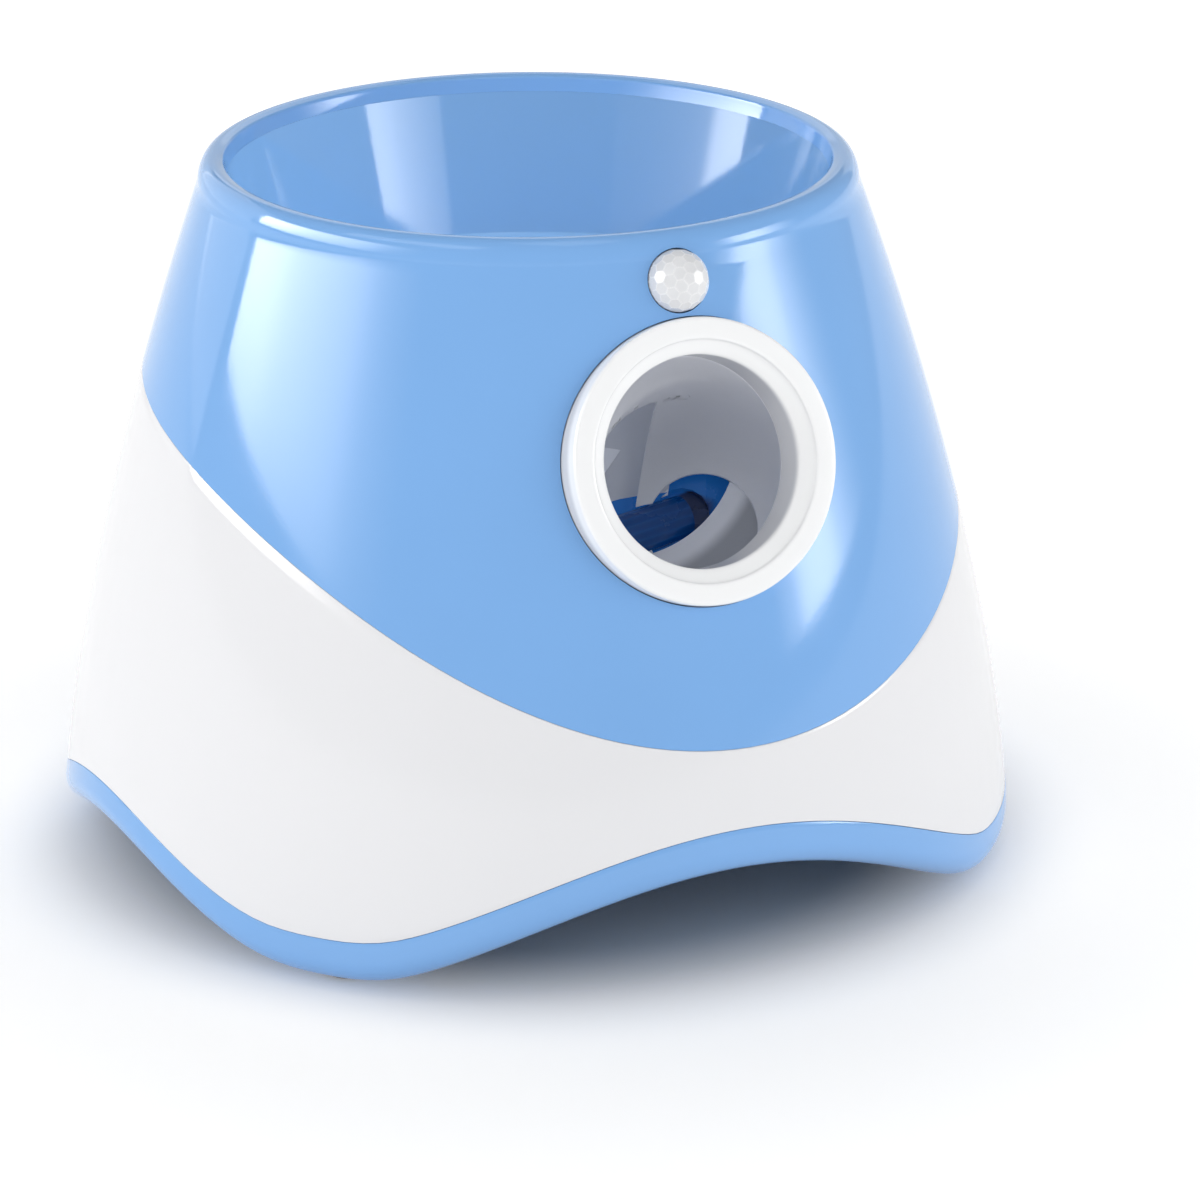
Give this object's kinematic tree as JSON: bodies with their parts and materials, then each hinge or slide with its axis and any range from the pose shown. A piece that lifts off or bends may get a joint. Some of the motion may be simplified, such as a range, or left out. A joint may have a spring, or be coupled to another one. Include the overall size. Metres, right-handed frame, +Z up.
{
  "type": "automatic_ball_launcher",
  "caption": "Automatic ball launcher for pets: tapered round housing with an open hopper on top, a muzzle in front and a spring kicker wound by a motor and gears inside",
  "frame": {"origin": "on the floor, under the middle of the launcher, where its four feet stand", "axes": "+Z up; -Y to the front, where the muzzle is; +X to the right seen from behind the front, that is to the right when +Y points away"},
  "size_m": [0.2454, 0.2428, 0.183],
  "materials": {
    "sky_plastic": "gloss",
    "white_plastic": "gloss",
    "lens_plastic": "satin, translucent",
    "royal_plastic": "satin",
    "natural_nylon": "satin",
    "steel": "satin",
    "rubber": "matt",
    "circuit_board": "satin",
    "cell_jacket": "satin",
    "dark_plastic": "satin"
  },
  "bodies": {
    "housing": {"base_tray": "sky_plastic", "base_screw_1": "steel", "base_screw_2": "steel", "base_screw_3": "steel", "base_screw_4": "steel", "foot_pad_1": "rubber", "foot_pad_2": "rubber", "foot_pad_3": "rubber", "foot_pad_4": "rubber", "side_shell": "white_plastic", "upper_shell": "sky_plastic", "hopper_bowl": "sky_plastic", "muzzle_ring": "white_plastic", "launch_cup": "white_plastic", "feed_chute": "white_plastic", "sensor_lens": "lens_plastic", "sensor_can": "steel", "sensor_board": "circuit_board", "control_panel": "white_plastic", "range_lens_1": "lens_plastic", "range_lens_2": "lens_plastic", "range_lens_3": "lens_plastic", "power_inlet": "dark_plastic", "main_board": "circuit_board", "buzzer": "dark_plastic", "gearbox_plate_inner": "natural_nylon", "gearbox_plate_outer": "natural_nylon", "gearbox_post_1": "steel", "gearbox_post_2": "steel", "gearbox_post_3": "steel", "kicker_bracket": "natural_nylon", "kicker_axle": "steel", "kicker_bumper": "rubber", "kicker_spring": "steel", "sector_axle": "steel", "second_axle": "steel", "first_axle": "steel", "motor": "steel", "battery_box": "dark_plastic", "battery_contact_front": "steel", "battery_contact_back": "steel", "cell_1": "cell_jacket", "cell_2": "cell_jacket", "cell_3": "cell_jacket", "cell_4": "cell_jacket"},
    "kicker": {"kicker_arm": "royal_plastic"},
    "sector": {"sector_gear": "natural_nylon"},
    "second": {"second_gear": "natural_nylon"},
    "first": {"first_gear": "natural_nylon"},
    "rotor": {"motor_pinion": "natural_nylon", "motor_shaft": "steel"},
    "power_key": {"power_button": "sky_plastic"},
    "range_key": {"range_button": "sky_plastic"},
    "door": {"battery_door": "sky_plastic"}
  },
  "joints": [
    {"name": "kicker_swing", "type": "hinge", "parent": "housing", "child": "kicker", "pos_m": [0.038, -0.06008, 0.0345], "axis": [-0.8973, 0.4415, 0], "range_deg": [0, 52], "stiffness_Nm_per_rad": 0.12, "springref_deg": -28.65, "deforming": ["kicker_spring"]},
    {"name": "sector_turn", "type": "hinge", "parent": "housing", "child": "sector", "pos_m": [0.05105, -0.03357, 0.04828], "axis": [-0.8973, 0.4415, 0], "range_deg": [-28, 1]},
    {"name": "second_turn", "type": "hinge", "parent": "housing", "child": "second", "pos_m": [0.0625, -0.0103, 0.05772], "axis": [-0.8973, 0.4415, 0], "range_deg": [-1, 94]},
    {"name": "first_turn", "type": "hinge", "parent": "housing", "child": "first", "pos_m": [0.07154, 0.00808, 0.04817], "axis": [-0.8973, 0.4415, 0], "range_deg": [-244, 1]},
    {"name": "motor_turn", "type": "hinge", "parent": "housing", "child": "rotor", "pos_m": [0.08019, 0.02564, 0.03687], "axis": [-0.8973, 0.4415, 0], "range_deg": [-1, 634]},
    {"name": "power_press", "type": "slide", "parent": "housing", "child": "power_key", "axis": [-0.1184, -0.9644, -0.2364], "range_m": [0, 0.0015], "stiffness_N_per_m": 400},
    {"name": "range_press", "type": "slide", "parent": "housing", "child": "range_key", "axis": [0.1184, -0.9644, -0.2364], "range_m": [0, 0.0015], "stiffness_N_per_m": 400},
    {"name": "door_open", "type": "hinge", "parent": "housing", "child": "door", "pos_m": [-0.0204, 0.002, 0.0191], "axis": [0, -1, 0], "range_deg": [0, 100]}
  ],
  "couplings": [
    {"joint": "sector_turn", "follows": "kicker_swing", "ratio": -0.52941},
    {"joint": "second_turn", "follows": "kicker_swing", "ratio": 1.8},
    {"joint": "first_turn", "follows": "kicker_swing", "ratio": -4.68},
    {"joint": "motor_turn", "follows": "kicker_swing", "ratio": 12.168}
  ]
}
